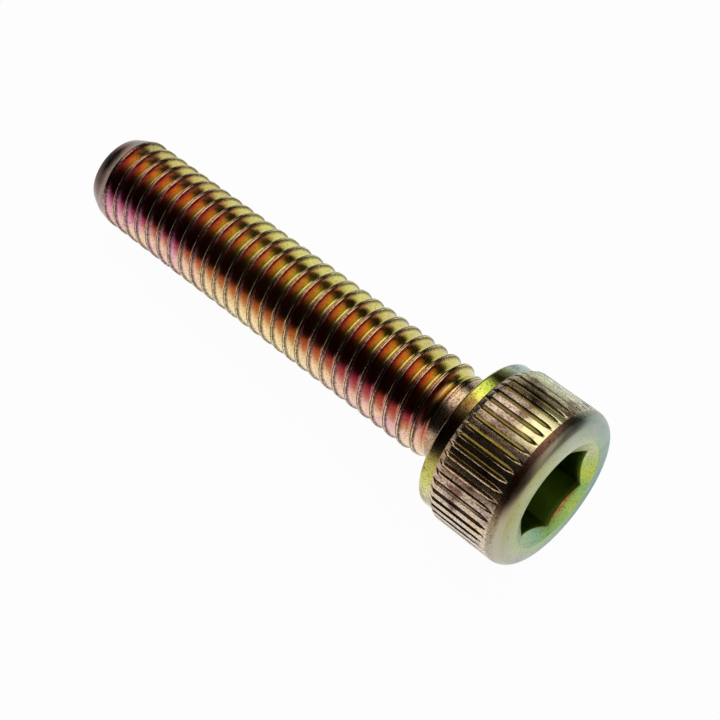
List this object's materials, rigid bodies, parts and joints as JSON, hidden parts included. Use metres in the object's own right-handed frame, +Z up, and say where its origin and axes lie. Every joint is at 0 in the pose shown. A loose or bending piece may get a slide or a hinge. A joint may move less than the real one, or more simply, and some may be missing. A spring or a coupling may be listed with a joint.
{
  "type": "hex socket cap screw",
  "caption": "Hex socket head cap screw with a straight-knurled round head and a fully threaded metric shank, in yellow-plated steel, lying on its side.",
  "frame": {"origin": "centre of the bearing face under the head, on the screw's axis", "axes": "+X from the tip towards the head, +Z up from the surface the screw lies on; the axis rises 3.8 degrees towards the head"},
  "size_m": [0.0361, 0.01, 0.0102],
  "materials": {
    "cap_screw": "yellow zinc plate, iridescent"
  },
  "bodies": {
    "root": {"cap_screw": "cap_screw"}
  },
  "joints": []
}
